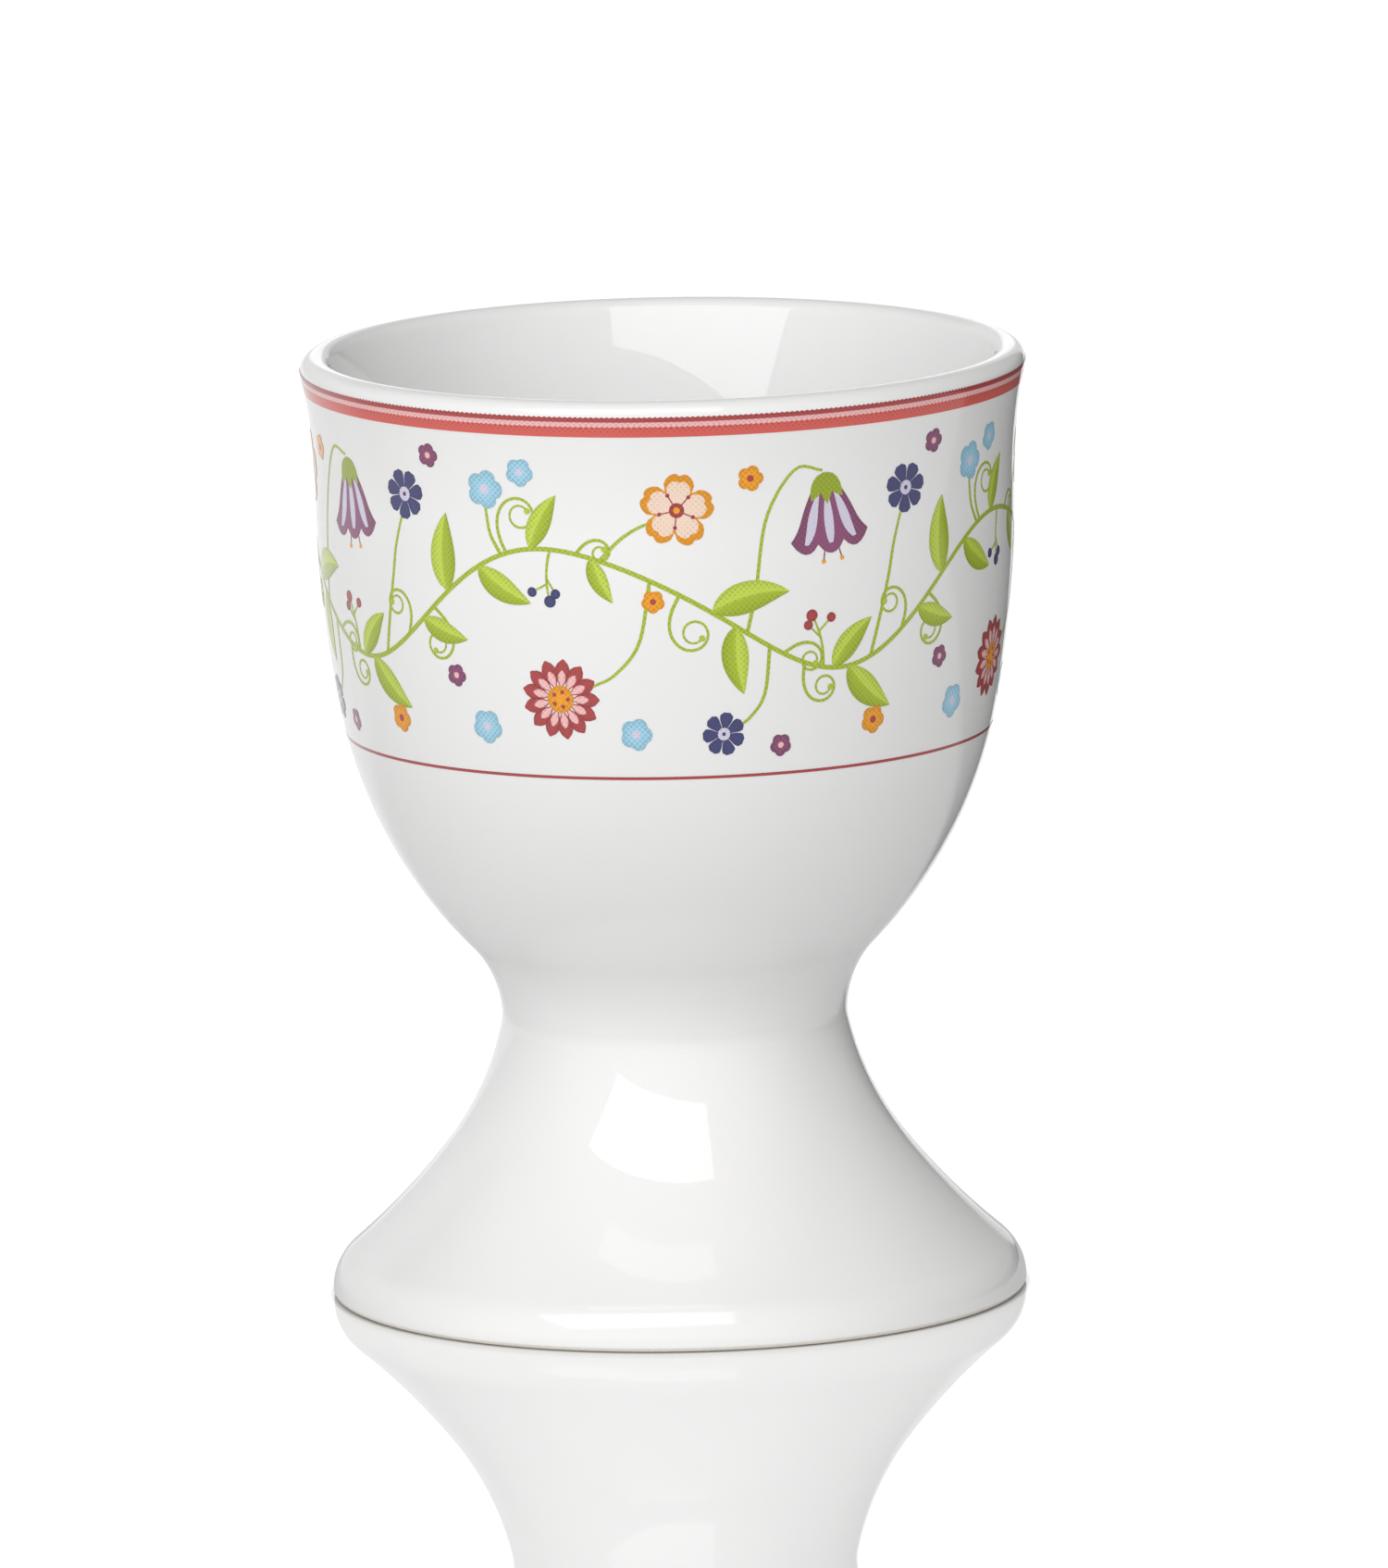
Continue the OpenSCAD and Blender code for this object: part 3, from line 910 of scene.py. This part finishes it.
class EGGCUP_OT_lines(bpy.types.Operator):
    """Print the lines and the band round the bowl, the hairline also under the band's toothed edge"""

    bl_idname = "eggcup.lines"
    bl_label = "Printed Lines"

    def execute(self, context):
        s, inks = in_mm(context.scene.cup_sizes), context.scene.cup_inks
        # Node, ink, slot, depth of the teeth, how far it goes on under its neighbour, layer
        for name, ink, slot, tooth, under, layer in (
            ("rim_line", "crimson", "dark_red_print", 0.08, 0.0, 1),
            ("rim_hairline", "rose", "pale_pink_print", 0.0, 0.12, 0),
            ("rim_band", "band", "red_print", 0.1, 0.0, 1),
            ("border_line", "crimson", "dark_red_print", 0.0, 0.0, 0),
        ):
            low, high = bottom_of(name) - under, top_of(name)
            patch = print_ring(high - low, tooth, layer)
            finish = ceramic_ink(name + "_ink", getattr(inks, ink))
            made = add_print(name + "_print", [patch], s, low, finish)
            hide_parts(name)
        return {"FINISHED"}


class EGGCUP_OT_flowers(bpy.types.Operator):
    """Print the flower border between the lines, one object for each colour of ink"""

    bl_idname = "eggcup.flowers"
    bl_label = "Flower Border"

    def execute(self, context):
        s, inks = in_mm(context.scene.cup_sizes), context.scene.cup_inks
        cell = border_cell()
        for ink in sorted({ink for ink, _ in cell}):
            patches = [patch for name, patch in cell if name == ink]
            finish = ceramic_ink(ink + "_ink", getattr(inks, ink))
            add_print("flowers_" + ink, patches, s, top_of("border_line"), finish, CELLS, BORDER_TURN)
        return {"FINISHED"}


class EGGCUP_OT_studio(bpy.types.Operator):
    """Set up the floor, the soft lights and the camera"""

    bl_idname = "eggcup.studio"
    bl_label = "Studio"

    def execute(self, context):
        studio_floor()
        studio_world(context.scene)
        studio_lights()
        studio_camera(context.scene)
        return {"FINISHED"}


def studio_floor():
    """A square glossy board, a hair under the foot so that the two don't share a plane."""
    half, under = 6.0, -0.02 * MM
    corners = [(x * half, y * half, under) for x, y in ((-1, -1), (1, -1), (1, 1), (-1, 1))]
    mesh = bpy.data.meshes.new("studio_floor")
    mesh.from_pydata(corners, [], [(0, 1, 2, 3)])
    mesh.materials.append(white_acrylic_board())
    floor = bpy.data.objects.new("studio_floor", mesh)
    bpy.context.scene.collection.objects.link(floor)


def white_acrylic_board():
    """Glossy white acrylic. To the camera it is white by its own strength, less the cup's shadow,
    and the cup mirrors in it. Round the foot that strength falls from 0.63 to 0.06, a painted
    shadow in the crevice. To the cup's light it is plain white, and to the cup's glaze it
    glows with painted light and shade, brightest behind the cup."""
    made, tree, out = material("white_acrylic_board")
    at = node(tree, "ShaderNodeTexCoord").outputs["Object"]
    from_axis = node(tree, "ShaderNodeVectorMath", {0: at}, operation="LENGTH").outputs["Value"]
    # Painted shadow: the board's own strength drops from 0.63 to 0.06 between 24.2 and 23.5 mm from the
    # axis, in the crevice round the foot
    clear = node(
        tree, "ShaderNodeMapRange", {"Value": from_axis}, **SMOOTH,
        in_From_Min=23.5 * MM, in_From_Max=24.2 * MM, in_To_Min=0.06, in_To_Max=0.63,
    )
    white = node(tree, "ShaderNodeEmission", {"Strength": clear.outputs[0]}, in_Color=WHITE)
    shade = node(tree, "ShaderNodeBsdfDiffuse", in_Color=(0.3, 0.3, 0.3, 1))
    lit = node(tree, "ShaderNodeAddShader", {0: shade.outputs[0], 1: white.outputs[0]})
    gloss = node(tree, "ShaderNodeBsdfGlossy", in_Color=WHITE, in_Roughness=0.02)
    fresnel = node(tree, "ShaderNodeFresnel", in_IOR=1.9)
    layers = {0: fresnel.outputs[0], 1: lit.outputs[0], 2: gloss.outputs[0]}
    board = node(tree, "ShaderNodeMixShader", layers)
    plain = node(tree, "ShaderNodeBsdfDiffuse", in_Color=(0.86, 0.86, 0.86, 1))
    # Painted light and shade: the board's glow in the glaze stands for how light falls on it
    glow = painted_board_light(tree, at)
    mirrored = node(tree, "ShaderNodeEmission", {"Strength": glow}, in_Color=WHITE)
    path = node(tree, "ShaderNodeLightPath").outputs
    unseen = {0: path["Is Glossy Ray"], 1: plain.outputs[0], 2: mirrored.outputs[0]}
    around = node(tree, "ShaderNodeMixShader", unseen)
    both = {0: path["Is Camera Ray"], 1: around.outputs[0], 2: board.outputs[0]}
    tree.links.new(node(tree, "ShaderNodeMixShader", both).outputs[0], out)
    return made


def painted_board_light(tree, at):
    """The painted light and shade of the board in reflections, as the strength of its glow: full
    behind the cup, painted as lit from the back, 0.73 at the near left falling to 0.55 at the near
    right, and 0.08 at the back right, past a slanted edge that starts 14 mm from the axis, a
    painted shade where no lamp reaches it."""
    across, behind, _ = node(tree, "ShaderNodeSeparateXYZ", {0: at}).outputs
    near = node(
        tree, "ShaderNodeMapRange", {"Value": across}, **SMOOTH,
        in_From_Min=-45 * MM, in_From_Max=-15 * MM, in_To_Min=0.73, in_To_Max=0.55,
    )
    far = node(
        tree, "ShaderNodeMapRange", {"Value": behind, "To Min": near.outputs[0]}, **SMOOTH,
        in_From_Min=50 * MM, in_From_Max=110 * MM, in_To_Max=1.0,
    )
    slant = node(tree, "ShaderNodeVectorMath", {0: at}, operation="DOT_PRODUCT", in_1=(1, -0.25, 0))
    right = node(
        tree, "ShaderNodeMapRange", {"Value": slant.outputs["Value"]}, **SMOOTH,
        in_From_Min=14 * MM, in_From_Max=24 * MM,
    )
    unlit = node(
        tree, "ShaderNodeMapRange", {"Value": behind, "To Max": right.outputs[0]}, **SMOOTH,
        in_From_Min=52 * MM, in_From_Max=75 * MM,
    )
    ends = {"Value": unlit.outputs[0], "To Min": far.outputs[0]}
    return node(tree, "ShaderNodeMapRange", ends, in_To_Max=0.08).outputs[0]


def studio_world(scene):
    """A room with a white sweep low at its back. The sweep fades out to the sides, upwards from
    20 to 33 degrees, and on the right from 13 to 17 degrees past straight back. To the camera all
    of it is white."""
    world = bpy.data.worlds.new("white_room")
    world.use_nodes = True
    tree = world.node_tree
    tree.nodes.clear()
    way = node(tree, "ShaderNodeTexCoord").outputs["Generated"]
    height = node(tree, "ShaderNodeSeparateXYZ", {0: way}).outputs["Z"]
    level = node(tree, "ShaderNodeVectorMath", {0: way}, operation="MULTIPLY", in_1=(1, 1, 0))
    heading = node(tree, "ShaderNodeVectorMath", {0: level.outputs[0]}, operation="NORMALIZE")
    part = node(tree, "ShaderNodeSeparateXYZ", {0: heading.outputs[0]}).outputs
    path = node(tree, "ShaderNodeLightPath").outputs
    glossy = path["Is Glossy Ray"]

    not_right = node(
        tree, "ShaderNodeMapRange", {"Value": part["X"]}, **SMOOTH, in_From_Min=0.30, in_From_Max=0.23,
    )
    back = node(
        tree, "ShaderNodeMapRange", {"Value": part["Y"], "To Max": not_right.outputs[0]}, **SMOOTH,
        in_From_Min=-0.1, in_From_Max=0.9,
    )
    low = node(
        tree, "ShaderNodeMapRange", {"Value": height, "To Max": back.outputs[0]}, **SMOOTH,
        in_From_Min=0.55, in_From_Max=0.35,
    )
    dull = {"Strength": room_strength(tree, heading.outputs[0], part["Y"], height, glossy)}
    room = node(tree, "ShaderNodeBackground", dull, in_Color=rgba(linear("FFFDFC")))
    bright = {"Strength": sweep_strength(tree, way, part["Y"], glossy)}
    sweep = node(tree, "ShaderNodeBackground", bright, in_Color=WHITE)
    white = node(tree, "ShaderNodeBackground", in_Color=WHITE, in_Strength=1.0)
    both = {0: low.outputs[0], 1: room.outputs[0], 2: sweep.outputs[0]}
    lit = node(tree, "ShaderNodeMixShader", both)
    all_three = {0: path["Is Camera Ray"], 1: lit.outputs[0], 2: white.outputs[0]}
    seen = node(tree, "ShaderNodeMixShader", all_three)
    out = node(tree, "ShaderNodeOutputWorld", {"Surface": seen.outputs[0]})
    out.is_active_output = True
    scene.world = world


def room_strength(tree, heading, back, height, glossy):
    """The strength of the room: 1.4 towards the viewer, 13 degrees to the left, falling to 0.2 at
    the back, and times 0.35 overhead. In reflections it is less a fifth, plus a faint glow at the
    back that rises to 0.24 over the edge of the board."""
    viewer = np.radians(13)
    toward = node(
        tree, "ShaderNodeVectorMath", {0: heading}, operation="DOT_PRODUCT",
        in_1=(-np.sin(viewer), -np.cos(viewer), 0),
    )
    side = node(
        tree, "ShaderNodeMapRange", {"Value": toward.outputs["Value"]}, **SMOOTH,
        in_From_Min=-0.6, in_From_Max=1.0, in_To_Min=0.2, in_To_Max=1.4,
    )
    ceiling = node(tree, "ShaderNodeMapRange", {"Value": height}, in_To_Min=1.0, in_To_Max=0.35)
    walls = {0: side.outputs[0], 1: ceiling.outputs[0]}
    strength = node(tree, "ShaderNodeMath", walls, operation="MULTIPLY")
    dim = node(tree, "ShaderNodeMath", {0: glossy}, operation="MULTIPLY_ADD", in_1=-0.2, in_2=1.0)
    lowered = {0: strength.outputs[0], 1: dim.outputs[0]}
    dimmed = node(tree, "ShaderNodeMath", lowered, operation="MULTIPLY")
    risen = node(
        tree, "ShaderNodeMapRange", {"Value": height}, **SMOOTH,
        in_From_Min=0.04, in_From_Max=0.13, in_To_Max=0.24,
    )
    behind = node(
        tree, "ShaderNodeMapRange", {"Value": back, "To Max": risen.outputs[0]}, **SMOOTH,
        in_From_Min=0.0, in_From_Max=0.4,
    )
    glow = {0: glossy, 1: behind.outputs[0], 2: dimmed.outputs[0]}
    return node(tree, "ShaderNodeMath", glow, operation="MULTIPLY_ADD").outputs[0]


def sweep_strength(tree, way, back, glossy):
    """The strength of the sweep: as light it grows from 0.2 at the sides to 1.5 straight behind,
    and in reflections it is 0.82. A brighter spot, 5 degrees in radius and gone at 9, lies where
    the board mirrors the camera's view, so that the board shows as white as what is behind it."""
    fill = node(
        tree, "ShaderNodeMapRange", {"Value": back}, **SMOOTH,
        in_From_Min=0.65, in_From_Max=1.0, in_To_Min=0.2, in_To_Max=1.5,
    )
    ends = {"Value": glossy, "To Min": fill.outputs[0]}
    glow = node(tree, "ShaderNodeMapRange", ends, in_To_Max=0.82)
    up = np.radians(CAMERA_DOWN)
    mirrored = (0, np.cos(up), np.sin(up))
    middle = node(tree, "ShaderNodeVectorMath", {0: way}, operation="DOT_PRODUCT", in_1=mirrored)
    hot = node(
        tree, "ShaderNodeMapRange", {"Value": middle.outputs["Value"]}, **SMOOTH,
        in_From_Min=np.cos(np.radians(9)), in_From_Max=np.cos(np.radians(5)), in_To_Max=0.6,
    )
    both = {0: glow.outputs[0], 1: hot.outputs[0]}
    return node(tree, "ShaderNodeMath", both, operation="ADD").outputs[0]


def studio_lights():
    """Soft boxes that face the cup, each with its place, width and height in metres, roll in
    degrees and strength in watts. The large one stands high at the front, a little to the left."""
    middle = Vector((0, 0, 0.03))
    for name, place, size, roll, power in (
        ("softbox_front", (-0.178, -0.584, 0.633), (0.885, 0.5), 18.0, 2.78),
        ("softbox_top", (-0.13, -0.25, 1.3), (0.65, 0.16), 27.5, 0.25),
    ):
        light = bpy.data.lights.new(name, "AREA")
        light.shape = "RECTANGLE"
        light.size, light.size_y = size
        light.energy = power
        lamp = bpy.data.objects.new(name, light)
        turn = (middle - Vector(place)).to_track_quat("-Z", "Y").to_matrix().to_4x4()
        level = Matrix.Rotation(np.radians(roll), 4, "Z")
        lamp.matrix_world = Matrix.Translation(place) @ turn @ level
        bpy.context.scene.collection.objects.link(lamp)


def studio_camera(scene):
    """A long lens 1.5 m away that looks down at the cup. It is turned a little about its own axis,
    as the photograph's camera was, and aimed so that the cup stands where it does there."""
    down, roll = np.radians(CAMERA_DOWN), np.radians(1.1)
    across, above, away = 1.6 * MM, 34.36 * MM, 1.5
    right = Vector((1, 0, 0))
    up = Vector((0, np.sin(down), np.cos(down)))
    ahead = Vector((0, np.cos(down), -np.sin(down)))
    place = across * right + above * up - away * ahead
    rolled_right = np.cos(roll) * right - np.sin(roll) * up
    rolled_up = np.sin(roll) * right + np.cos(roll) * up
    data = bpy.data.cameras.new("camera")
    data.sensor_width = 36.0
    data.lens = 502.4
    data.clip_start, data.clip_end = 0.1, 50
    camera = bpy.data.objects.new("camera", data)
    turn = Matrix([rolled_right, rolled_up, -ahead]).transposed().to_4x4()
    camera.matrix_world = Matrix.Translation(place) @ turn
    scene.collection.objects.link(camera)
    scene.camera = camera


class EGGCUP_PT_panel(bpy.types.Panel):
    """The steps that make the egg cup, in order"""

    bl_label = "Egg Cup"
    bl_idname = "EGGCUP_PT_panel"
    bl_space_type = "VIEW_3D"
    bl_region_type = "UI"
    bl_category = "Egg Cup"

    def draw(self, context):
        column = self.layout.column()
        for operator in OPERATORS:
            column.operator(operator.bl_idname)
        for group in (context.scene.cup_sizes, context.scene.cup_inks):
            for key in group.__annotations__:
                column.prop(group, key)


OPERATORS = (EGGCUP_OT_body, EGGCUP_OT_lines, EGGCUP_OT_flowers, EGGCUP_OT_studio)
CLASSES = (CupSizes, CupInks, *OPERATORS, EGGCUP_PT_panel)


def register():
    for c in CLASSES:
        bpy.utils.register_class(c)
    bpy.types.Scene.cup_sizes = PointerProperty(type=CupSizes)
    bpy.types.Scene.cup_inks = PointerProperty(type=CupInks)


def unregister():
    del bpy.types.Scene.cup_inks
    del bpy.types.Scene.cup_sizes
    for c in reversed(CLASSES):
        bpy.utils.unregister_class(c)


def main():
    register()
    scene = bpy.context.scene
    scene.view_settings.view_transform = "Standard"
    bpy.ops.eggcup.body()
    bpy.ops.eggcup.lines()
    bpy.ops.eggcup.flowers()
    bpy.ops.eggcup.studio()


if __name__ == "__main__":
    main()
